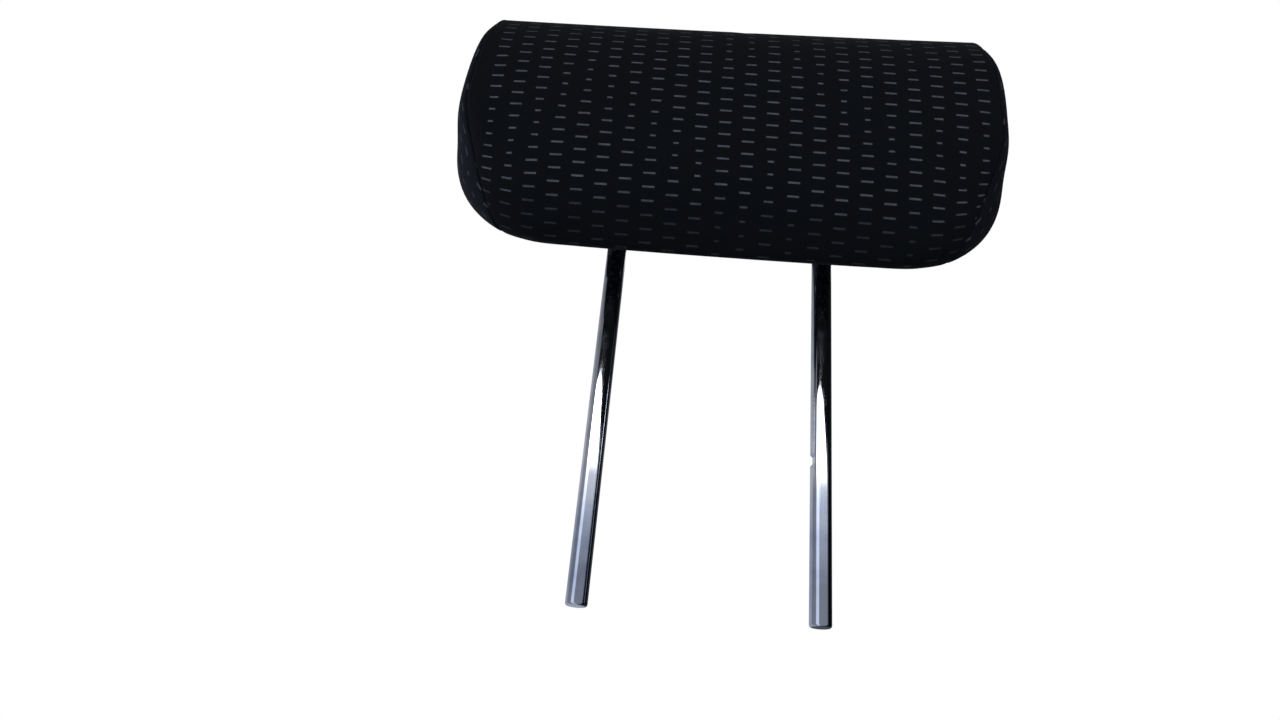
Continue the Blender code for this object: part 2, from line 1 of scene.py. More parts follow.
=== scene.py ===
"""Looks of a seat head restraint, in the order it is put together.

A chrome plated bar, a plastic core clamped round its crossbar, moulded foam over the core, a
woven cover sewn from three panels, and a slotted trim plate that closes the underside.
"""

import math

import bmesh
import bpy
import numpy as np
from mathutils import Matrix, Vector


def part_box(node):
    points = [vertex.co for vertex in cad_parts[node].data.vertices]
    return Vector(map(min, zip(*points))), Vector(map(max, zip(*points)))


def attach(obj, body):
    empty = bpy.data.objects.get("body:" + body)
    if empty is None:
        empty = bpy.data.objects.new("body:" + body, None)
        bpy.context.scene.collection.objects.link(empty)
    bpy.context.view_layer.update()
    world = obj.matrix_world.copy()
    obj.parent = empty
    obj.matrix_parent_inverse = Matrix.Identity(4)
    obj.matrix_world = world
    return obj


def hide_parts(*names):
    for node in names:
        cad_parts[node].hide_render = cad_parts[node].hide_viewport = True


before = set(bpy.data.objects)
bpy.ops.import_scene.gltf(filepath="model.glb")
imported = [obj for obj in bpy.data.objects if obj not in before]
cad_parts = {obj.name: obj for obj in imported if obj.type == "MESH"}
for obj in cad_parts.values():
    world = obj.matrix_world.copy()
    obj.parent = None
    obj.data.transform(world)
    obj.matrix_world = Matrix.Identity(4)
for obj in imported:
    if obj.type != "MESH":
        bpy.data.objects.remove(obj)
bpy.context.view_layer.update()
scene = bpy.context.scene


# ---------------------------------------------------------------- chrome bar
# One 10.5 mm steel rod bent twice into two posts and a crossbar, ground, nickel and chrome plated.
# The post ends are chamfered, and one post has a square notch that the height lock catches.
POST_RADIUS = 0.00525
POST_SPACING = 0.112
TILT_AXIS = 0.236
BEND_RADIUS = 0.018
END_CHAMFER = 0.0012
CHAMFER_STEPS = 4
STRAIGHT_STEPS = 12
BEND_STEPS = 18
BAR_SIDES = 64
NOTCH_HEIGHT = 0.080
NOTCH_LENGTH = 0.0055
NOTCH_DEPTH = 0.0017
NOTCH_FLARE = 0.0015
NOTCH_OVERSHOOT = 0.003
NOTCH_HALF_WIDTH = 0.008
SHARP_ANGLE = 35


def place(name, bm, material, sharp=SHARP_ANGLE):
    """Make a bmesh into a named, smoothly shaded piece."""
    mesh = bpy.data.meshes.new(name)
    bm.to_mesh(mesh)
    bm.free()
    mesh.materials.append(material)
    mesh.shade_smooth()
    mesh.set_sharp_from_angle(angle=math.radians(sharp))
    piece = bpy.data.objects.new(name, mesh)
    scene.collection.objects.link(piece)
    return piece


def hex_colour(code):
    """An sRGB hex colour as linear RGBA."""
    values = [int(code[k:k + 2], 16) / 255 for k in (1, 3, 5)]
    return (*[v / 12.92 if v <= 0.04045 else ((v + 0.055) / 1.055) ** 2.4 for v in values], 1.0)


def add(tree, kind, inputs=None, **settings):
    """Add a shader node with its settings, its input values and its links."""
    node = tree.nodes.new("ShaderNode" + kind)
    for name, value in settings.items():
        setattr(node, name, value)
    for socket, value in (inputs or {}).items():
        if isinstance(value, bpy.types.NodeSocket):
            tree.links.new(value, node.inputs[socket])
        else:
            node.inputs[socket].default_value = value
    return node


def finish(name, roughness, metallic=0.0, **sockets):
    """A material whose Principled shader has these fixed values; returns it, its tree and shader."""
    material = bpy.data.materials.new(name)
    material.use_nodes = True
    shader = material.node_tree.nodes["Principled BSDF"]
    shader.inputs["Roughness"].default_value = roughness
    shader.inputs["Metallic"].default_value = metallic
    for socket, value in sockets.items():
        shader.inputs[socket.replace("_", " ")].default_value = value
    return material, material.node_tree, shader


# Decorative chrome plate: near mirror with a cold tint, dulled a little by handling and by the
# fine lengthwise scratches that the sleeves of the seat leave on the posts.
PLATE_COLOUR = hex_colour("#d3d6da")
PLATE_SMUDGE = hex_colour("#b9c0cc")
SMUDGES_PER_METRE = 90
SCRATCHES_PER_METRE = (2600, 2600, 24)

chrome, tree, shader = finish("bright_chrome_plate", 0.07, 1.0)
point = add(tree, "TexCoord").outputs["Object"]
smudge = add(tree, "TexNoise", {"Vector": point, "Scale": SMUDGES_PER_METRE, "Detail": 5.0})
smudge = add(tree, "MapRange", {"Value": smudge.outputs["Fac"], "From Min": 0.42, "From Max": 0.68})
tint = add(tree, "Mix", {"Factor": smudge.outputs["Result"], "A": PLATE_COLOUR, "B": PLATE_SMUDGE},
           data_type="RGBA")
tree.links.new(tint.outputs["Result"], shader.inputs["Base Color"])
grain = add(tree, "Mapping", {"Vector": point, "Scale": SCRATCHES_PER_METRE})
scratch = add(tree, "TexNoise", {"Vector": grain.outputs["Vector"], "Scale": 1.0, "Detail": 2.0})
scratch = add(tree, "MapRange", {"Value": scratch.outputs["Fac"], "From Min": 0.55, "From Max": 0.8,
                                 "To Max": 0.05})
dull = add(tree, "MapRange", {"Value": smudge.outputs["Result"], "To Min": 0.02, "To Max": 0.07})
rough = add(tree, "Math", {0: dull.outputs["Result"], 1: scratch.outputs["Result"]}, operation="ADD")
tree.links.new(rough.outputs["Value"], shader.inputs["Roughness"])
bump = add(tree, "Bump", {"Height": scratch.outputs["Result"], "Strength": 0.06, "Distance": 0.0001})
tree.links.new(bump.outputs["Normal"], shader.inputs["Normal"])


def bar_half():
    """Centre line from the left post's end to the middle of the crossbar, as (x, z, radius)."""
    half = POST_SPACING / 2
    path = []
    for k in range(CHAMFER_STEPS + 1):
        turn = math.radians(90) * k / CHAMFER_STEPS
        path.append((-half, END_CHAMFER * (1 - math.cos(turn)),
                     POST_RADIUS - END_CHAMFER * (1 - math.sin(turn))))
    for k in range(1, STRAIGHT_STEPS):
        height = END_CHAMFER + (TILT_AXIS - BEND_RADIUS - END_CHAMFER) * k / STRAIGHT_STEPS
        path.append((-half, height, POST_RADIUS))
    for k in range(BEND_STEPS + 1):
        turn = math.radians(90) * k / BEND_STEPS
        path.append((-half + BEND_RADIUS * (1 - math.cos(turn)),
                     TILT_AXIS - BEND_RADIUS * (1 - math.sin(turn)), POST_RADIUS))
    return path


def sweep(path, sides):
    """A closed round bar along points (x, z, radius) in the plane y = 0."""
    bm = bmesh.new()
    rings = []
    for k, (x, z, radius) in enumerate(path):
        before, after = path[max(k - 1, 0)], path[min(k + 1, len(path) - 1)]
        along = Vector((after[0] - before[0], 0, after[1] - before[1])).normalized()
        across = along.cross(Vector((0, 1, 0)))
        ring = []
        for step in range(sides):
            turn = 2 * math.pi * step / sides
            offset = across * radius * math.cos(turn) + Vector((0, radius * math.sin(turn), 0))
            ring.append(bm.verts.new(Vector((x, 0, z)) + offset))
        rings.append(ring)
    for ring, following in zip(rings, rings[1:]):
        for k in range(sides):
            after = (k + 1) % sides
            bm.faces.new((ring[k], ring[after], following[after], following[k]))
    bm.faces.new(rings[0])
    bm.faces.new(rings[-1])
    bmesh.ops.recalc_face_normals(bm, faces=bm.faces)
    return bm


def add_block(bm, low, high):
    """A box between two corners; returns its vertices."""
    verts = bmesh.ops.create_cube(bm, size=1.0)["verts"]
    bmesh.ops.scale(bm, vec=[b - a for a, b in zip(low, high)], verts=verts)
    bmesh.ops.translate(bm, vec=[(a + b) / 2 for a, b in zip(low, high)], verts=verts)
    return verts


def carve(piece, cutter_bm, operation="DIFFERENCE"):
    """Cut a shape out of a piece, or join it on, and keep only the result."""
    cutter = place("cutter", cutter_bm, piece.data.materials[0])
    boolean = piece.modifiers.new("cut", "BOOLEAN")
    boolean.operation = operation
    boolean.solver = "EXACT"
    boolean.object = cutter
    graph = bpy.context.evaluated_depsgraph_get()
    mesh = bpy.data.meshes.new_from_object(piece.evaluated_get(graph))
    piece.modifiers.remove(boolean)
    bpy.data.objects.remove(cutter)
    piece.data = mesh
    mesh.shade_smooth()
    mesh.set_sharp_from_angle(angle=math.radians(SHARP_ANGLE))


left_half = bar_half()
right_half = [(-x, z, radius) for x, z, radius in reversed(left_half)]
bar = place("chrome_bar", sweep(left_half + right_half, BAR_SIDES), chrome)
notch = bmesh.new()
inner = POST_SPACING / 2 - POST_RADIUS
notch_verts = add_block(notch, (inner - NOTCH_OVERSHOOT, -NOTCH_HALF_WIDTH, NOTCH_HEIGHT - NOTCH_LENGTH / 2),
                        (inner + NOTCH_DEPTH, NOTCH_HALF_WIDTH, NOTCH_HEIGHT + NOTCH_LENGTH / 2))
for vert in notch_verts:
    if vert.co.x < inner:
        vert.co.z += math.copysign(NOTCH_FLARE, vert.co.z - NOTCH_HEIGHT)
carve(bar, notch)
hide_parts("post_bar")
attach(bar, "post_frame")


# ---------------------------------------------------------------- core, bushes and clip
# Two injection moulded polypropylene shells screwed together round the crossbar, two split nylon
# bushes that carry it, and a hardened spring clip that grips its middle so the pad stays put.
MOULD_TEXTURE_MM = 0.35


def moulded(name, colour, fleck, roughness, grain_mm, depth_mm, **sockets):
    """Moulded plastic: a fine spark eroded grain from the tool, and a slight bloom in patches."""
    material, tree, shader = finish(name, roughness, **sockets)
    point = add(tree, "TexCoord").outputs["Object"]
    bloom = add(tree, "TexNoise", {"Vector": point, "Scale": 60.0, "Detail": 4.0})
    shade = add(tree, "Mix", {"Factor": bloom.outputs["Fac"], "A": hex_colour(colour),
                              "B": hex_colour(fleck)}, data_type="RGBA")
    tree.links.new(shade.outputs["Result"], shader.inputs["Base Color"])
    dull = add(tree, "MapRange", {"Value": bloom.outputs["Fac"], "To Min": roughness - 0.06,
                                  "To Max": roughness + 0.08})
    tree.links.new(dull.outputs["Result"], shader.inputs["Roughness"])
    grain = add(tree, "TexNoise", {"Vector": point, "Scale": 1000 / grain_mm, "Detail": 2.0})
    bump = add(tree, "Bump", {"Height": grain.outputs["Fac"], "Strength": 0.5,
                              "Distance": depth_mm / 1000})
    tree.links.new(bump.outputs["Normal"], shader.inputs["Normal"])
    return material


def refinish(material, *nodes):
    """Give CAD nodes that keep their shape their finish."""
    for node in nodes:
        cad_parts[node].data.materials.clear()
        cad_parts[node].data.materials.append(material)


core_plastic = moulded("black_polypropylene", "#1d1d1f", "#28282b", 0.5, MOULD_TEXTURE_MM, 0.02, IOR=1.49)
bush_nylon = moulded("natural_nylon", "#ddd8c6", "#cfc8b2", 0.38, MOULD_TEXTURE_MM, 0.01, IOR=1.53)
refinish(core_plastic, "front_core_shell", "rear_core_shell")
refinish(bush_nylon, "left_pivot_bush", "right_pivot_bush")

# Hardened spring steel: blue-grey rolled strip with fine lines along the strip and an oily sheen.
spring_steel, tree, shader = finish("blued_spring_steel", 0.32, 1.0)
point = add(tree, "TexCoord").outputs["Object"]
lines = add(tree, "Mapping", {"Vector": point, "Scale": (40, 3000, 3000)})
lines = add(tree, "TexNoise", {"Vector": lines.outputs["Vector"], "Scale": 1.0, "Detail": 3.0})
shade = add(tree, "Mix", {"Factor": lines.outputs["Fac"], "A": hex_colour("#5d6470"),
                          "B": hex_colour("#8b8e93")}, data_type="RGBA")
tree.links.new(shade.outputs["Result"], shader.inputs["Base Color"])
dull = add(tree, "MapRange", {"Value": lines.outputs["Fac"], "To Min": 0.24, "To Max": 0.42})
tree.links.new(dull.outputs["Result"], shader.inputs["Roughness"])
bump = add(tree, "Bump", {"Height": lines.outputs["Fac"], "Strength": 0.15, "Distance": 0.00005})
tree.links.new(bump.outputs["Normal"], shader.inputs["Normal"])
refinish(spring_steel, "friction_clip")


# ---------------------------------------------------------------- screws
# Thread forming steel screws, zinc plated: four close the core, two hold the clip and two hold
# the underside plate. Each has a pan head with a hexagonal drive and a rolled thread.
SCREW_RADIUS = 0.0019
THREAD_DEPTH = 0.0003
THREAD_PITCH = 0.0014
HEAD_RADIUS = 0.0038
HEAD_HEIGHT = 0.0026
DRIVE_RADIUS = 0.0015
DRIVE_DEPTH = 0.0016
HEAD_ARC_STEPS = 6
SCREW_SIDES = 36
SCREW_TAPER = 0.18
THREAD_STEPS = (0.05, 0.4, 0.55)
HEAD_FLAT_SHARE = 0.72
HEAD_WALL_SHARE = 0.35
POINT_SHARE = 0.3

zinc, tree, shader = finish("bright_zinc_plate", 0.3, 1.0)
point = add(tree, "TexCoord").outputs["Object"]
patch = add(tree, "TexNoise", {"Vector": point, "Scale": 700.0, "Detail": 4.0})
shade = add(tree, "Mix", {"Factor": patch.outputs["Fac"], "A": hex_colour("#c2c4c0"),
                          "B": hex_colour("#a8a89a")}, data_type="RGBA")
tree.links.new(shade.outputs["Result"], shader.inputs["Base Color"])
dull = add(tree, "MapRange", {"Value": patch.outputs["Fac"], "To Min": 0.22, "To Max": 0.42})
tree.links.new(dull.outputs["Result"], shader.inputs["Roughness"])
bump = add(tree, "Bump", {"Height": patch.outputs["Fac"], "Strength": 0.1, "Distance": 0.00005})
tree.links.new(bump.outputs["Normal"], shader.inputs["Normal"])


def screw_profile(length):
    """Half outline of the screw as (radius, height), from the tip up and over the head."""
    outline = [(0, -length), (SCREW_RADIUS * POINT_SHARE, -length)]
    turns = int(length * (1 - SCREW_TAPER) / THREAD_PITCH)
    for k in range(turns, 0, -1):
        outline.append((SCREW_RADIUS - THREAD_DEPTH, -(k - THREAD_STEPS[0]) * THREAD_PITCH))
        outline.append((SCREW_RADIUS, -(k - THREAD_STEPS[1]) * THREAD_PITCH))
        outline.append((SCREW_RADIUS, -(k - THREAD_STEPS[2]) * THREAD_PITCH))
    outline += [(SCREW_RADIUS - THREAD_DEPTH, 0), (HEAD_RADIUS, 0)]
    for k in range(HEAD_ARC_STEPS + 1):
        turn = math.radians(90) * k / HEAD_ARC_STEPS
        outline.append((HEAD_RADIUS * (HEAD_FLAT_SHARE + (1 - HEAD_FLAT_SHARE) * math.cos(turn)),
                        HEAD_HEIGHT * (HEAD_WALL_SHARE + (1 - HEAD_WALL_SHARE) * math.sin(turn))))
    return outline + [(0, HEAD_HEIGHT)]


def make_screw(name, low, high, axis, head_up):
    """A screw that fills a CAD screw's box, its head at the high or the low end of an axis."""
    length = high[axis] - low[axis] - HEAD_HEIGHT
    bm = bmesh.new()
    rings = []
    for radius, height in screw_profile(length):
        sides = 1 if radius == 0 else SCREW_SIDES
        turns = [2 * math.pi * k / SCREW_SIDES for k in range(sides)]
        rings.append([bm.verts.new((radius * math.cos(t), radius * math.sin(t), height)) for t in turns])
    for lower, upper in zip(rings, rings[1:]):
        for k in range(SCREW_SIDES):
            after = (k + 1) % SCREW_SIDES
            corners = [lower[k % len(lower)], lower[after % len(lower)],
                       upper[after % len(upper)], upper[k % len(upper)]]
            bm.faces.new(list(dict.fromkeys(corners)))
    bmesh.ops.recalc_face_normals(bm, faces=bm.faces)
    screw = place(name, bm, zinc)
    drive = bmesh.new()
    bmesh.ops.create_cone(drive, cap_ends=True, segments=6, radius1=DRIVE_RADIUS, radius2=DRIVE_RADIUS,
                          depth=2 * DRIVE_DEPTH, matrix=Matrix.Translation((0, 0, HEAD_HEIGHT)))
    carve(screw, drive)
    point_up = Vector([(1 if head_up else -1) * (k == axis) for k in range(3)])
    seat = (Vector(low) + Vector(high)) / 2
    seat[axis] = high[axis] - HEAD_HEIGHT if head_up else low[axis] + HEAD_HEIGHT
    turn = Vector((0, 0, 1)).rotation_difference(point_up).to_matrix().to_4x4()
    screw.data.transform(Matrix.Translation(seat) @ turn)
    return screw


SCREW_SETS = (("core_screw", 4, 1, True), ("clip_screw", 2, 1, False), ("plate_screw", 2, 2, False))
for kind, count, axis, head_up in SCREW_SETS:
    for number in range(1, count + 1):
        node = f"{kind}_{number}"
        screw = make_screw(f"{kind}_{number}_plated", *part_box(node), axis, head_up)
        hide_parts(node)
        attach(screw, "pad")


# ---------------------------------------------------------------- shape of the pad
# The pad is one rounded side outline carried along its width, with both ends curved in like a
# cushion's. Foam and cover share it: the foam lies inside it by the thickness of the cloth.
PAD_HALF_WIDTH = 0.1489
SECTION_CENTRE = np.array([-0.016, 0.012])
END_REACH = {"top": 0.019, "bottom": 0.065, "front": 0.014, "back": 0.030}
END_FULLNESS = 2.17
SECTION = (
    (-0.0335, -0.0626), (-0.0425, -0.0594), (-0.0498, -0.0490), (-0.0536, -0.0360),
    (-0.0567, -0.0142), (-0.0589, 0.0142), (-0.0589, 0.0426), (-0.0562, 0.0566),
    (-0.0490, 0.0702), (-0.0382, 0.0838), (-0.0180, 0.0904), (0.0042, 0.0853),
    (0.0222, 0.0684), (0.0310, 0.0432), (0.0330, 0.0150), (0.0310, -0.0050),
    (0.0250, -0.0200), (0.0170, -0.0295), (0.0100, -0.0334), (0.0040, -0.0340),
    (-0.0080, -0.0340), (-0.0170, -0.0342), (-0.0210, -0.0365), (-0.0228, -0.0420),
    (-0.0240, -0.0500), (-0.0270, -0.0590),
)
POINTS_PER_SPAN = 4
SEAM_TURN = 0.14
LOWER_SEAM_TURN = 0.22
LOWER_SEAM_ANGLE = math.radians(50)


def smooth_loop(corners, per_span):
    """Centripetal spline through a closed list of points, as an array of (y, z)."""
    count = len(corners)
    points = np.array(corners)
    loop = []
    for i in range(count):
        span = [points[(i + k - 1) % count] for k in range(4)]
        knots = [0.0]
        for first, second in zip(span, span[1:]):
            knots.append(knots[-1] + math.sqrt(np.linalg.norm(second - first)))
        for step in range(per_span):
            at = knots[1] + (knots[2] - knots[1]) * step / per_span
            level = span
            for width in (1, 2, 3):
                nearer = []
                for j in range(len(level) - 1):
                    low = j if width < 3 else 1
                    left, right = knots[low], knots[low + width if width < 3 else 2]
                    blend = (at - left) / (right - left)
                    nearer.append(level[j] * (1 - blend) + level[j + 1] * blend)
                level = nearer
            loop.append(level[0])
    return np.array(loop)


section = smooth_loop(SECTION, POINTS_PER_SPAN)
offset = section - SECTION_CENTRE
forward, upward = (offset * (-1, 1) / np.linalg.norm(offset, axis=1)[:, None]).T
reach = (END_REACH["top"] * np.clip(upward, 0, 1) ** 2
         + END_REACH["bottom"] * np.clip(-upward, 0, 1) ** 2
         + END_REACH["front"] * np.clip(forward, 0, 1) ** 2
         + END_REACH["back"] * np.clip(-forward, 0, 1) ** 2)
lower_corner = np.clip(np.cos(np.arctan2(offset[:, 1], -offset[:, 0]) + LOWER_SEAM_ANGLE), 0, 1) ** 4
seam_turn = SEAM_TURN + LOWER_SEAM_TURN * lower_corner


def end_ring(turn, side, outline=section, depth=0.0):
    """One ring of the pad's end: turn is 0 where the end starts to curve and 1 at its middle."""
    quarter = np.asarray(turn) * math.pi / 2
    shrink = np.cos(quarter) ** (2 / END_FULLNESS)
    x = PAD_HALF_WIDTH - depth - reach * (1 - np.sin(quarter) ** (2 / END_FULLNESS))
    flat = SECTION_CENTRE + (outline - SECTION_CENTRE) * shrink[..., None]
    return np.column_stack([side * x, flat + (0, TILT_AXIS)])


def middle_ring(fraction, outline=section):
    return np.column_stack([(PAD_HALF_WIDTH - reach) * fraction, outline + (0, TILT_AXIS)])


def surface_normals(grid):
    """Outward normals of a grid of rings."""
    across = np.gradient(grid, axis=0)
    around = np.roll(grid, -1, axis=1) - np.roll(grid, 1, axis=1)
    normals = np.cross(around, across)
    normals /= np.maximum(np.linalg.norm(normals, axis=2), 1e-12)[..., None]
    middle = np.array([0, SECTION_CENTRE[0], SECTION_CENTRE[1] + TILT_AXIS])
    return normals * np.sign(np.sum(normals * (grid - middle)))


def skin(grid, poles=(None, None), skip=None):
    """Join a grid of rings into a surface facing out, with a pole at either end where given."""
    bm = bmesh.new()
    loops = [[bm.verts.new(point) for point in ring] for ring in grid]
    count = len(loops[0])
    for row, (ring, following) in enumerate(zip(loops, loops[1:])):
        for k in range(count):
            after = (k + 1) % count
            if skip is not None and skip[row, k]:
                continue
            bm.faces.new((ring[k], following[k], following[after], ring[after]))
    for loop, pole in ((loops[0], poles[0]), (loops[-1], poles[1])):
        if pole is None:
            continue
        tip = bm.verts.new(pole)
        for k in range(count):
            corners = (loop[k], loop[(k + 1) % count], tip)
            bm.faces.new(corners if loop is loops[0] else corners[::-1])
    for vert in [v for v in bm.verts if not v.link_faces]:
        bm.verts.remove(vert)
    bm.normal_update()
    middle = Vector((0, SECTION_CENTRE[0], SECTION_CENTRE[1] + TILT_AXIS))
    if sum(f.normal.dot(f.calc_center_median() - middle) * f.calc_area() for f in bm.faces) < 0:
        bmesh.ops.reverse_faces(bm, faces=bm.faces)
    return bm


def end_pole(side, depth=0.0):
    return (side * (PAD_HALF_WIDTH - depth), SECTION_CENTRE[0], SECTION_CENTRE[1] + TILT_AXIS)


# ---------------------------------------------------------------- foam
# One cold cured polyurethane moulding pulled over the core through its open pocket. It has a
# closed skin from the mould and fine open pores where it is cut.
FOAM_DEPTH = 0.0038
FOAM_END_TURNS = (0.96, 0.88, 0.78, 0.66, 0.54, 0.42, 0.30, 0.19, 0.09)
FOAM_MIDDLE_STEPS = 40
PORE_MM = 0.9
POCKET_GAP = 0.0003
POCKET_BOTTOM = 0.188

foam_skin = moulded("moulded_polyurethane_foam", "#d8cda4", "#c6b884", 0.92, PORE_MM, 0.25)
along = np.roll(section, -1, axis=0) - np.roll(section, 1, axis=0)
along /= np.linalg.norm(along, axis=1)[:, None]
foam_outline = section + np.column_stack([along[:, 1], -along[:, 0]]) * FOAM_DEPTH
foam_turns = [np.full(len(section), turn) for turn in FOAM_END_TURNS]
foam_rings = [end_ring(turn, -1, foam_outline, FOAM_DEPTH) for turn in foam_turns]
foam_rings += [middle_ring(f, foam_outline) for f in np.linspace(-1, 1, FOAM_MIDDLE_STEPS + 1)]
foam_rings += [end_ring(turn, 1, foam_outline, FOAM_DEPTH) for turn in reversed(foam_turns)]
foam_grid = np.array(foam_rings)
foam = place("foam_block", skin(foam_grid, (end_pole(-1, FOAM_DEPTH), end_pole(1, FOAM_DEPTH))), foam_skin)
pocket = bmesh.new()
core_low, core_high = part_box("front_core_shell")
core_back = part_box("rear_core_shell")[1].y
add_block(pocket, (core_low.x - POCKET_GAP, core_low.y - POCKET_GAP, POCKET_BOTTOM),
          (core_high.x + POCKET_GAP, core_back + POCKET_GAP, core_high.z + POCKET_GAP))
carve(foam, pocket)
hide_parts("foam_pad")
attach(foam, "pad")


# ---------------------------------------------------------------- woven cover
# A main panel wrapped from the lip over the top to the underside, and a panel sewn in at each
# end with its cloth turned a quarter. The seam allowances are turned in, so a narrow groove shows.
SEAM_GAP = 0.0010
SEAM_ROLL = 0.0016
ROLL_SHARE = 0.5
SEAM_STEPS = (0.0, 0.0004, 0.0009, 0.0016, 0.0026)
ALLOWANCE_DEPTHS = (0.0030, 0.0016)
PUCKER_PITCH = 0.0046
PUCKER_DEPTH = 0.00035
PUCKER_FADE = 0.006
CLOTH_THICKNESS = 0.0011
CLOTH_INSET = 0.0003
UNEVEN_FILL = 0.0022
UNEVEN_SHARE = 0.2
CLOTH_CAP = 0.0022
SIM_FRAMES = 20
SWELL_PRESSURE = 4.0
HOLD_WIDTH = 0.008
HOLD_MARGIN = 1.15
FAR_STEP = 0.003
CLOTH_SHARP = 60
MIDDLE_STEPS = 84
MAIN_SHARES = (0.85, 0.62, 0.40, 0.20)
END_SHARES = (0.08, 0.17, 0.27, 0.38, 0.49, 0.60, 0.71, 0.82, 0.92)
WINDOW_HALF_WIDTH = 0.0765
WINDOW_FRONT = -0.0170
WINDOW_BACK = 0.0092

# Flat woven upholstery cloth, black with a cold cast. Columns of short grey floats run across it
# every 12 mm, half a step apart from column to column, and wax and wane in length down a column.
COLUMN_PITCH = 12.0
COLUMN_SHIFT = 2.6
COLUMN_COUNT = 22
ROW_PITCH = 7.12
ROW_AT_AXIS = 8
ROW_CYCLE = 16.0
NARROW_ROWS = (9, 11, 8.8, 6, 4.5, 6, 7, 8.8, 10.5, 11.8, 16.5,
               16, 12, 0.5, 3.8, 5.8, 7, 8.6, 16.5, 8.5, 10.2, 8)
NARROW_SCALE = 20.0
NARROW_SPREAD = 3.6
FLOAT_HALF_LENGTH = 3.15
FLOAT_SHORTENING = 1.7
FLOAT_HALF_HEIGHT = 0.50
FLOAT_SOFTNESS = 0.50
# Painted shade under the lip and over the top: the rows where the floats are drawn dimmer, and how bright
# they stay there
LIP_SHADE_ROWS = (13.2, 15.2)
TOP_SHADE_ROWS = (-1.5, 1.5)
LIP_SHADE_STRENGTH = 0.25
TOP_SHADE_STRENGTH = 0.65
TURNED_STRENGTH = 0.45
THREAD_MM = 0.9


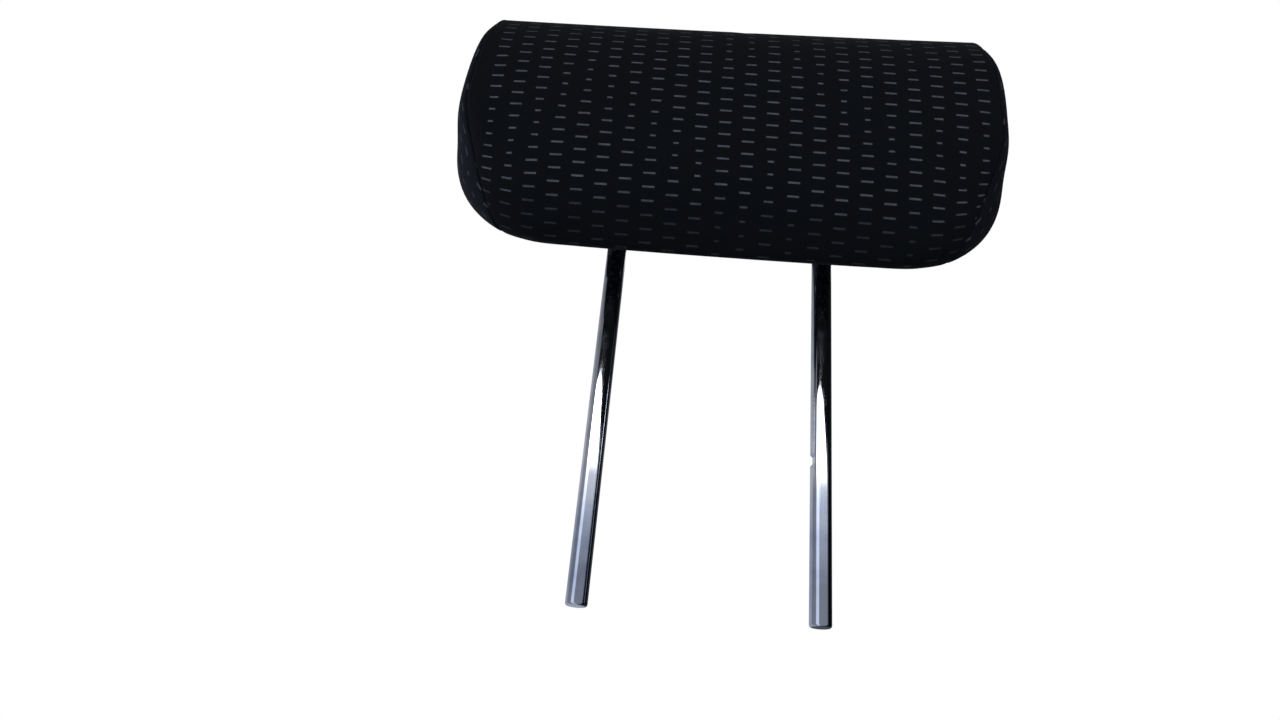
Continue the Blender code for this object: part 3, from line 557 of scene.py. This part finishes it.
def woven(name, turned, ground_shades):
    """The cover's cloth, as laid on the main panel or turned a quarter on an end panel."""
    material, tree, shader = finish(name, 0.92)
    shader.inputs["Sheen Weight"].default_value = 0.03
    shader.inputs["Sheen Roughness"].default_value = 0.5
    shader.inputs["Specular IOR Level"].default_value = 0.18

    def calc(operation, *values):
        return add(tree, "Math", dict(enumerate(values)), operation=operation).outputs["Value"]

    def fade(value, start, end):
        """1 below start, 0 above end, smooth between."""
        return add(tree, "MapRange", {"Value": value, "From Min": start, "From Max": end, "To Min": 1.0,
                                      "To Max": 0.0}, interpolation_type="SMOOTHSTEP").outputs["Result"]

    cloth = add(tree, "UVMap", uv_map="cloth").outputs["UV"]
    split = add(tree, "SeparateXYZ", {"Vector": cloth})
    across = calc("MULTIPLY", split.outputs["X"], 1000.0)
    down = calc("MULTIPLY", split.outputs["Y"], 1000.0)
    column_at = calc("ADD", calc("DIVIDE", calc("SUBTRACT", across, COLUMN_SHIFT), COLUMN_PITCH),
                     COLUMN_COUNT / 2 - 0.5)
    column = calc("ROUND", column_at)
    aside = calc("ABSOLUTE", calc("MULTIPLY", calc("SUBTRACT", column_at, column), COLUMN_PITCH))
    stagger = calc("MULTIPLY", calc("FLOORED_MODULO", column, 2.0), 0.5)
    row_at = calc("SUBTRACT", calc("ADD", calc("DIVIDE", down, ROW_PITCH), float(ROW_AT_AXIS)), stagger)
    row = calc("ROUND", row_at)
    above = calc("ABSOLUTE", calc("MULTIPLY", calc("SUBTRACT", row_at, row), ROW_PITCH))

    chart = add(tree, "ValToRGB", {"Fac": calc("DIVIDE", calc("ADD", column, 0.5), float(COLUMN_COUNT))})
    chart.color_ramp.interpolation = "CONSTANT"
    stops = chart.color_ramp.elements
    while len(stops) < COLUMN_COUNT:
        stops.new(1.0)
    for k, narrow_row in enumerate(NARROW_ROWS):
        stops[k].position = k / COLUMN_COUNT
        stops[k].color = (*[narrow_row / NARROW_SCALE] * 3, 1.0)
    narrow = calc("MULTIPLY", chart.outputs["Color"], NARROW_SCALE)
    from_narrow = calc("WRAP", calc("SUBTRACT", calc("ADD", row, stagger), narrow),
                       ROW_CYCLE / 2, -ROW_CYCLE / 2)
    waist = fade(calc("ABSOLUTE", from_narrow), 0.2, NARROW_SPREAD)
    half_length = calc("SUBTRACT", FLOAT_HALF_LENGTH, calc("MULTIPLY", waist, FLOAT_SHORTENING))
    past_end = calc("SUBTRACT", aside, half_length)
    float_mask = calc("MULTIPLY", fade(past_end, -FLOAT_SOFTNESS, FLOAT_SOFTNESS / 2),
                      fade(above, FLOAT_HALF_HEIGHT - FLOAT_SOFTNESS / 2,
                           FLOAT_HALF_HEIGHT + FLOAT_SOFTNESS / 2))

    if not turned:
        on_cloth = calc("LESS_THAN", calc("ABSOLUTE", calc("SUBTRACT", column, COLUMN_COUNT / 2 - 0.5)),
                        COLUMN_COUNT / 2)
        float_mask = calc("MULTIPLY", float_mask, on_cloth)
        # Painted shade: the floats are drawn dimmer where the cloth turns down under the lip and up over the
        # top, away from the front light
        for rows, strength in ((LIP_SHADE_ROWS, LIP_SHADE_STRENGTH), (TOP_SHADE_ROWS[::-1], TOP_SHADE_STRENGTH)):
            painted_shade = add(tree, "MapRange", {"Value": row_at, "From Min": rows[0], "From Max": rows[1],
                                             "To Min": 1.0, "To Max": strength}).outputs["Result"]
            float_mask = calc("MULTIPLY", float_mask, painted_shade)
    else:
        float_mask = calc("MULTIPLY", float_mask, TURNED_STRENGTH)

    # Ground weave: fine crossing threads, drawn a little coarser than the real 0.4 mm to show
    threads = add(tree, "Mapping", {"Vector": cloth, "Scale": (1000 / THREAD_MM, 1000 / THREAD_MM, 1)})
    weft = add(tree, "TexWave", {"Vector": threads.outputs["Vector"], "Scale": 0.5, "Distortion": 0.6,
                                 "Detail": 1.0}, bands_direction="Y")
    warp = add(tree, "TexWave", {"Vector": threads.outputs["Vector"], "Scale": 0.5, "Distortion": 0.6,
                                 "Detail": 1.0}, bands_direction="X")
    weave = calc("MULTIPLY", weft.outputs["Fac"], warp.outputs["Fac"])
    lint = add(tree, "TexNoise", {"Vector": cloth, "Scale": 260.0, "Detail": 4.0})
    cast = add(tree, "TexNoise", {"Vector": cloth, "Scale": 22.0, "Detail": 2.0})
    # On the end panels these ground shades are lighter: painted sheen
    ground = add(tree, "Mix", {"Factor": cast.outputs["Fac"], "A": hex_colour(ground_shades[0]),
                               "B": hex_colour(ground_shades[1])}, data_type="RGBA")
    ground = add(tree, "Mix", {"Factor": calc("MULTIPLY", weave, 0.35), "A": ground.outputs["Result"],
                               "B": hex_colour("#10161a")}, data_type="RGBA")
    thread = add(tree, "Mix", {"Factor": cast.outputs["Fac"], "A": hex_colour("#64676c"),
                               "B": hex_colour("#6b6c66")}, data_type="RGBA")
    # The lint's wear and the painted shade at the lip and top both dim the floats here
    float_wear_and_shade = calc("MULTIPLY", float_mask, add(tree, "MapRange", {
        "Value": lint.outputs["Fac"], "From Min": 0.3, "From Max": 0.7, "To Min": 0.6,
        "To Max": 1.0}).outputs["Result"])
    colour = add(tree, "Mix", {"Factor": float_wear_and_shade, "A": ground.outputs["Result"],
                               "B": thread.outputs["Result"]}, data_type="RGBA")
    tree.links.new(colour.outputs["Result"], shader.inputs["Base Color"])
    dull = add(tree, "MapRange", {"Value": float_mask, "To Min": 0.95, "To Max": 0.62})
    tree.links.new(dull.outputs["Result"], shader.inputs["Roughness"])
    relief = calc("ADD", calc("MULTIPLY", weave, 0.4), calc("MULTIPLY", float_mask, -0.8))
    bump = add(tree, "Bump", {"Height": relief, "Strength": 0.6, "Distance": 0.00018})
    tree.links.new(bump.outputs["Normal"], shader.inputs["Normal"])
    return material


def settle(piece, held):
    """Let the cloth swell against its held edges, as the foam fills it, and keep the result."""
    group = piece.vertex_groups.new(name="held")
    for index, weight in enumerate(held):
        group.add([index], float(weight), "REPLACE")
    cloth = piece.modifiers.new("swell", "CLOTH")
    cloth.settings.use_pressure = True
    cloth.settings.uniform_pressure_force = SWELL_PRESSURE
    cloth.settings.vertex_group_mass = "held"
    cloth.settings.effector_weights.gravity = 0.0
    cloth.collision_settings.use_collision = False
    cloth.point_cache.frame_end = SIM_FRAMES
    for frame_number in range(1, SIM_FRAMES + 1):
        scene.frame_set(frame_number)
    graph = bpy.context.evaluated_depsgraph_get()
    swollen = piece.evaluated_get(graph).to_mesh()
    count = len(piece.data.vertices)
    before, after = np.zeros(count * 3), np.zeros(count * 3)
    piece.data.vertices.foreach_get("co", before)
    swollen.vertices.foreach_get("co", after)
    move = (after - before).reshape(-1, 3)
    length = np.linalg.norm(move, axis=1)[:, None]
    move *= np.minimum(1, CLOTH_CAP / np.maximum(length, 1e-9))
    piece.data.vertices.foreach_set("co", before + move.ravel())
    piece.modifiers.remove(cloth)
    piece.vertex_groups.clear()
    scene.frame_set(1)


def seam_shape(grid, gap_from_seam):
    """Roll the cloth in at the seam and draw it into small puckers at each stitch."""
    normals = surface_normals(grid)
    arc = np.cumsum(np.linalg.norm(np.roll(grid, -1, axis=1) - grid, axis=2), axis=1)
    into = np.clip(1 - gap_from_seam / SEAM_ROLL, 0, 1)
    roll = SEAM_ROLL * ROLL_SHARE * (1 - np.sqrt(1 - into ** 2))
    fade = np.clip(1 - gap_from_seam / PUCKER_FADE, 0, 1) ** 2
    pucker = PUCKER_DEPTH * fade * (0.5 + 0.5 * np.cos(2 * math.pi * arc / PUCKER_PITCH))
    return grid - normals * (roll + pucker)[..., None], normals


def finish_panel(piece, grid_uv):
    """Smooth the panel once, give it the cloth's thickness and lay the weave on it."""
    layer = piece.data.uv_layers.new(name="cloth")
    for loop in piece.data.loops:
        layer.data[loop.index].uv = grid_uv[loop.vertex_index]
    smooth = piece.modifiers.new("smooth", "SUBSURF")
    smooth.levels = 1
    smooth.render_levels = 1
    smooth.boundary_smooth = "PRESERVE_CORNERS"
    thick = piece.modifiers.new("thickness", "SOLIDIFY")
    thick.thickness = CLOTH_THICKNESS
    thick.offset = -1.0


def seam_side(step, side, toward_end):
    """A ring beside the seam, step metres from its middle, on the main or on the end panel."""
    drift = step / (reach * math.pi / 2)
    return end_ring(seam_turn + drift if toward_end else seam_turn - drift, side)


# Main panel: rings from the left seam to the right seam
main_cloth = woven("woven_cloth", False, ("#06090c", "#080d11"))
side_rings = {}
seam_distance = []
for side in (-1, 1):
    steps = [SEAM_GAP / 2 + step for step in SEAM_STEPS]
    first = seam_turn - steps[-1] / (reach * math.pi / 2)
    rings = [seam_side(step, side, False) for step in steps]
    rings += [end_ring(first * share, side) for share in MAIN_SHARES]
    side_rings[side] = rings
    seam_distance = steps + [steps[-1] + k * FAR_STEP + FAR_STEP for k in range(len(MAIN_SHARES))]
middle_fractions = np.linspace(-1, 1, MIDDLE_STEPS + 1)
main_grid = np.array(side_rings[-1] + [middle_ring(f) for f in middle_fractions] + side_rings[1][::-1])
far = [1.0] * len(middle_fractions)
from_seam = np.array(seam_distance + far + seam_distance[::-1])[:, None] - SEAM_GAP / 2

# The cloth's own measure: along the width from the middle, and along the outline from the axis
steps_across = np.linalg.norm(np.diff(main_grid, axis=0), axis=2)
across = np.vstack([np.zeros(len(section)), np.cumsum(steps_across, axis=0)])
across -= across[len(main_grid) // 2]
edge = np.linalg.norm(np.roll(section, -1, axis=0) - section, axis=1)
around = np.concatenate([[0], np.cumsum(edge)[:-1]])
front = np.flatnonzero((section[:, 0] < -0.05) & (section[:, 1] < 0) & (np.roll(section[:, 1], -1) >= 0))[0]
share = -section[front, 1] / (section[front + 1, 1] - section[front, 1])
down = around[front] + share * edge[front] - around
main_uv = np.stack([across, np.broadcast_to(down, across.shape)], axis=2)

shaped, normals = seam_shape(main_grid, from_seam)
recess = ((section[:, 0] > -0.0290) & (section[:, 0] < 0.0150) & (section[:, 1] < -0.0290))
held = np.clip(HOLD_MARGIN - from_seam / HOLD_WIDTH, 0, 1) * np.ones(len(section))
held[:, recess] = 1.0
inset = CLOTH_INSET * (1 - held)
fuller = UNEVEN_FILL * (UNEVEN_SHARE + shaped[..., 0] / PAD_HALF_WIDTH) * np.clip(upward, 0, 1) ** 2
shaped = shaped + normals * (fuller - inset)[..., None]
deep, shallow = ALLOWANCE_DEPTHS
allowance = [end_ring(seam_turn, -1) - normals[0] * deep, shaped[0] - normals[0] * shallow]
allowance_right = [shaped[-1] - normals[-1] * shallow, end_ring(seam_turn, 1) - normals[-1] * deep]
full = np.concatenate([allowance, shaped, allowance_right])
full_uv = np.concatenate([main_uv[:1]] * 2 + [main_uv] + [main_uv[-1:]] * 2)
full_held = np.concatenate([np.ones((2, len(section))), held, np.ones((2, len(section)))])
centres = (full[:-1] + full[1:]) / 2
in_window = ((np.abs(centres[:, :, 0]) < WINDOW_HALF_WIDTH) & (centres[:, :, 1] > WINDOW_FRONT - 0.001)
             & (np.roll(centres[:, :, 1], -1, axis=1) > WINDOW_FRONT - 0.0001)
             & (centres[:, :, 1] < WINDOW_BACK) & (centres[:, :, 2] < TILT_AXIS - 0.0325))


def dress(name, grid, uv, hold, node, material, poles=(None, None), skip=None):
    """Skin a panel, let it settle, and finish it in place of its CAD node."""
    bm = skin(grid, poles, skip)
    piece = place(name, bm, material, sharp=CLOTH_SHARP)
    co = np.zeros(len(piece.data.vertices) * 3)
    piece.data.vertices.foreach_get("co", co)
    co = co.reshape(-1, 3)
    flat_grid = grid.reshape(-1, 3)
    flat_uv = uv.reshape(-1, 2)
    flat_hold = hold.reshape(-1)
    nearest = nearest_rows(co, flat_grid)
    piece_uv = flat_uv[nearest]
    settle(piece, flat_hold[nearest])
    level_poles(piece, np.flatnonzero(nearest < 0))
    finish_panel(piece, piece_uv)
    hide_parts(node)
    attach(piece, "pad")
    return piece


def level_poles(piece, poles):
    """Bring each pole level with the ring round it."""
    verts = piece.data.vertices
    for pole in poles:
        ring = {k for edge in piece.data.edges if pole in edge.vertices for k in edge.vertices} - {int(pole)}
        verts[pole].co = sum((verts[k].co for k in ring), Vector()) / len(ring)


def nearest_rows(points, table):
    """For each point the row of the table that it came from."""
    lookup = {tuple(np.round(row, 7)): k for k, row in enumerate(table.astype(np.float32).astype(float))}
    found = []
    for point in points:
        key = tuple(np.round(point, 7))
        found.append(lookup.get(key, -1))
    return np.array(found)


dress("main_panel_cloth", full, full_uv, full_held, "main_cover_panel", main_cloth, skip=in_window)

# End panels: rings from the seam to the middle of the end. Their cloth is painted a shade lighter than the
# main panel's, as painted sheen for the light the ends catch at a grazing angle
end_cloth_painted_sheen = woven("woven_cloth_turned_painted_sheen", True, ("#0d1217", "#11161c"))
END_PANELS = (("left_end_cloth", -1, "left_end_panel"), ("right_end_cloth", 1, "right_end_panel"))
for name, side, node in END_PANELS:
    steps = [SEAM_GAP / 2 + step for step in SEAM_STEPS]
    rings = [seam_side(step, side, True) for step in steps]
    start = seam_turn + steps[-1] / (reach * math.pi / 2)
    rings += [end_ring(start + (1 - start) * share, side) for share in END_SHARES]
    grid = np.array(rings)
    distance = np.array(steps + [steps[-1] + FAR_STEP * (k + 1) for k in range(len(END_SHARES))])[:, None]
    distance = distance - SEAM_GAP / 2
    shaped, normals = seam_shape(grid, distance)
    hold = np.clip(HOLD_MARGIN - distance / HOLD_WIDTH, 0, 1) * np.ones(len(section))
    fuller = UNEVEN_FILL * (UNEVEN_SHARE + shaped[..., 0] / PAD_HALF_WIDTH) * np.clip(upward, 0, 1) ** 2
    into = CLOTH_INSET * (1 - hold)
    shaped = shaped + normals * (fuller * np.clip(1.6 - distance / 0.020, 0, 1) - into)[..., None]
    tucked = [end_ring(seam_turn, side) - normals[0] * deep, shaped[0] - normals[0] * shallow]
    end_full = np.concatenate([tucked, shaped])
    end_hold = np.concatenate([np.ones((2, len(section))), hold])
    inward = np.concatenate([end_full[1:], np.full((1, len(section), 3), end_pole(side))])
    out_from_pole = np.cumsum(np.linalg.norm(inward - end_full, axis=2)[::-1], axis=0)[::-1]
    end_uv = out_from_pole[..., None] * np.column_stack([-upward, -forward])
    dress(name, end_full, end_uv, end_hold, node, end_cloth_painted_sheen, poles=(None, end_pole(side, CLOTH_INSET)))


# ---------------------------------------------------------------- underside plate and strips
# A moulded trim plate clipped over the cover's opening, with a long slot for each post so that
# the pad can tilt. The cover's edges are sewn to extruded hook strips held behind the plate.
PLATE_CORNER = 0.006
PLATE_EDGE = 0.0005
SLOT_HALF_WIDTH = 0.0064
SLOT_FRONT = -0.0166
SLOT_BACK = 0.0064
SCREW_HOLE = 0.0023
SCREW_PLACE = (0.014, -0.008)
STANDOFF_RADIUS = 0.0045
PLATE_TOP_DROP = 0.0349
PLATE_OVERSHOOT = 0.001

trim_plastic = moulded("grained_trim_polypropylene", "#131314", "#1b1b1d", 0.46, 0.6, 0.03, IOR=1.49)
refinish(trim_plastic, "front_closing_strip", "rear_closing_strip")


def rounded_block(low, high, radius, steps=8):
    """A flat block whose upright edges are rounded."""
    bm = bmesh.new()
    verts = add_block(bm, low, high)
    upright = [e for e in bm.edges if abs((e.verts[0].co - e.verts[1].co).normalized().z) > 0.99]
    bmesh.ops.bevel(bm, geom=upright, offset=radius, segments=steps, affect="EDGES", profile=0.5)
    return bm


plate_low, plate_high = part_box("underside_plate")
plate_top = TILT_AXIS - PLATE_TOP_DROP
plate = place("slotted_trim_plate", rounded_block(
    (plate_low.x, plate_low.y, plate_low.z), (plate_high.x, plate_high.y, plate_top),
    PLATE_CORNER), trim_plastic)
for side in (-1, 1):
    centre = side * POST_SPACING / 2
    carve(plate, rounded_block(
        (centre - SLOT_HALF_WIDTH, SLOT_FRONT, plate_low.z - PLATE_OVERSHOOT),
        (centre + SLOT_HALF_WIDTH, SLOT_BACK, plate_top + PLATE_OVERSHOOT), SLOT_HALF_WIDTH - 0.0003, 12))
    standoff = bmesh.new()
    bmesh.ops.create_cone(standoff, cap_ends=True, segments=32, radius1=STANDOFF_RADIUS,
                          radius2=STANDOFF_RADIUS,
                          depth=plate_high.z - plate_top + PLATE_OVERSHOOT, matrix=Matrix.Translation(
                              (side * SCREW_PLACE[0], SCREW_PLACE[1],
                               (plate_high.z + plate_top - PLATE_OVERSHOOT) / 2)))
    carve(plate, standoff, "UNION")
    bore = bmesh.new()
    bmesh.ops.create_cone(bore, cap_ends=True, segments=32, radius1=SCREW_HOLE, radius2=SCREW_HOLE,
                          depth=0.03, matrix=Matrix.Translation(
                              (side * SCREW_PLACE[0], SCREW_PLACE[1], plate_top)))
    carve(plate, bore)
edge_round = plate.modifiers.new("edge", "BEVEL")
edge_round.width = PLATE_EDGE
edge_round.segments = 3
edge_round.limit_method = "ANGLE"
edge_round.angle_limit = math.radians(50)
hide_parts("underside_plate")
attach(plate, "pad")


# ---------------------------------------------------------------- studio
# A pale floor, a white surround, one wide softbox in front and above eye level, and a weaker one
# high behind. The surround is graded so that the chrome has something to mirror.
FLOOR_LEVEL = -0.45
FLOOR_HALF = 4.0
CAMERA_PLACE = (-0.0184, -0.4228, -0.0705)
CAMERA_TURN = (115.143, -5.018, 0.249)
CAMERA_LENS = 25.3125
FILL_PLACE = (0.5, 1.6, 2.2)
FILL_POWER = 8.0
FILL_SIZE = 1.8
ARCH_TOP = 0.404
ARCH_DROP = 0.045
ARCH_TURN = 0.4
SOFTBOX_STRENGTH = 8.0
WINDOW_STRENGTH = 0.95
LOW_FRONT_GLOW = 0.44
UPPER_FRONT_GLOW = 0.50
LOW_LEFT_GLOW = 0.40
FAR_LEFT_GLOW = 0.28
BEHIND_GLOW = 0.14
BASE_GLOW = 0.006

floor_paint, tree, shader = finish("pale_floor_paint", 0.8)
point = add(tree, "TexCoord").outputs["Object"]
cloudy = add(tree, "TexNoise", {"Vector": point, "Scale": 3.0, "Detail": 3.0})
shade = add(tree, "Mix", {"Factor": cloudy.outputs["Fac"], "A": hex_colour("#f2f2f0"),
                          "B": hex_colour("#ebebe9")}, data_type="RGBA")
tree.links.new(shade.outputs["Result"], shader.inputs["Base Color"])
tree.links.new(shade.outputs["Result"], shader.inputs["Emission Color"])
shader.inputs["Emission Strength"].default_value = 0.75
floor_bm = bmesh.new()
bmesh.ops.create_grid(floor_bm, x_segments=8, y_segments=8, size=FLOOR_HALF,
                      matrix=Matrix.Translation((0, 0, FLOOR_LEVEL)))
floor = place("floor", floor_bm, floor_paint)
floor.visible_diffuse = False
floor.visible_glossy = False

world = bpy.data.worlds.new("studio_surround")
scene.world = world
world.use_nodes = True
tree = world.node_tree
tree.nodes.clear()


def calc(operation, *values):
    return add(tree, "Math", dict(enumerate(values)), operation=operation).outputs["Value"]


def rise(value, start, end):
    """0 below start, 1 above end, smooth between; the other way round if start is above end."""
    return add(tree, "MapRange", {"Value": value, "From Min": start, "From Max": end},
               interpolation_type="SMOOTHSTEP").outputs["Result"]


direction = add(tree, "SeparateXYZ", {"Vector": add(tree, "TexCoord").outputs["Generated"]})
east, north, height = (direction.outputs[name] for name in "XYZ")
bearing = calc("ARCTAN2", east, calc("MULTIPLY", north, -1.0))
off_centre = calc("ADD", bearing, ARCH_TURN)
arch = calc("SUBTRACT", ARCH_TOP, calc("MULTIPLY", calc("MULTIPLY", off_centre, off_centre), ARCH_DROP))
softbox = calc("MULTIPLY", rise(calc("SUBTRACT", height, arch), 0.006, -0.006), rise(height, 0.30, 0.345))
softbox = calc("MULTIPLY", softbox, calc("MULTIPLY", rise(bearing, -1.0, -0.85), rise(bearing, 1.4, 1.2)))
window = calc("MULTIPLY", calc("MULTIPLY", rise(bearing, -0.98, -0.90), rise(bearing, -0.38, -0.46)),
              rise(height, 0.40, 0.36))
low_front = calc("MULTIPLY", rise(height, 0.36, 0.30), rise(bearing, 1.35, 0.95))
low_front = calc("MULTIPLY", low_front, rise(bearing, -1.12, -0.94))
low_left = calc("ADD", calc("MULTIPLY", rise(bearing, -0.94, -1.12), LOW_LEFT_GLOW),
                calc("MULTIPLY", rise(bearing, -1.6, -2.0), FAR_LEFT_GLOW))
glow = calc("ADD", calc("MULTIPLY", rise(height, 0.19, 0.29), calc("MULTIPLY", low_front, UPPER_FRONT_GLOW)),
            calc("MULTIPLY", low_front, LOW_FRONT_GLOW))
glow = calc("ADD", glow, calc("MULTIPLY", low_left, rise(height, 0.75, 0.2)))
glow = calc("ADD", glow, calc("MULTIPLY", window, WINDOW_STRENGTH))
glow = calc("ADD", glow, calc("MULTIPLY", softbox, SOFTBOX_STRENGTH))
behind = calc("MULTIPLY", rise(bearing, 1.9, 2.9), BEHIND_GLOW)
glow = calc("ADD", calc("ADD", glow, behind), BASE_GLOW)
cast = add(tree, "Mix", {"Factor": rise(height, 0.33, 0.24), "A": hex_colour("#f2f4ff"),
                         "B": hex_colour("#c4cce2")}, data_type="RGBA")
tinted = add(tree, "Background", {"Color": cast.outputs["Result"], "Strength": glow})
white = add(tree, "Background", {"Color": (1, 1, 1, 1), "Strength": 1.0})
seen = add(tree, "LightPath").outputs["Is Camera Ray"]
mixed = add(tree, "MixShader", {0: seen, 1: tinted.outputs["Background"], 2: white.outputs["Background"]})
add(tree, "OutputWorld", {"Surface": mixed.outputs["Shader"]})

fill_data = bpy.data.lights.new("high_back_softbox", "AREA")
fill_data.energy = FILL_POWER
fill_data.size = FILL_SIZE
fill = bpy.data.objects.new("high_back_softbox", fill_data)
fill.location = FILL_PLACE
fill.rotation_euler = (Vector(FILL_PLACE) - Vector((0, 0, TILT_AXIS))).to_track_quat("Z", "Y").to_euler()
scene.collection.objects.link(fill)

lens = bpy.data.cameras.new("camera")
lens.lens = CAMERA_LENS
lens.sensor_width = 36.0
lens.clip_start = 0.01
camera = bpy.data.objects.new("camera", lens)
camera.location = CAMERA_PLACE
camera.rotation_euler = [math.radians(angle) for angle in CAMERA_TURN]
scene.collection.objects.link(camera)
scene.camera = camera
scene.view_settings.view_transform = "Standard"
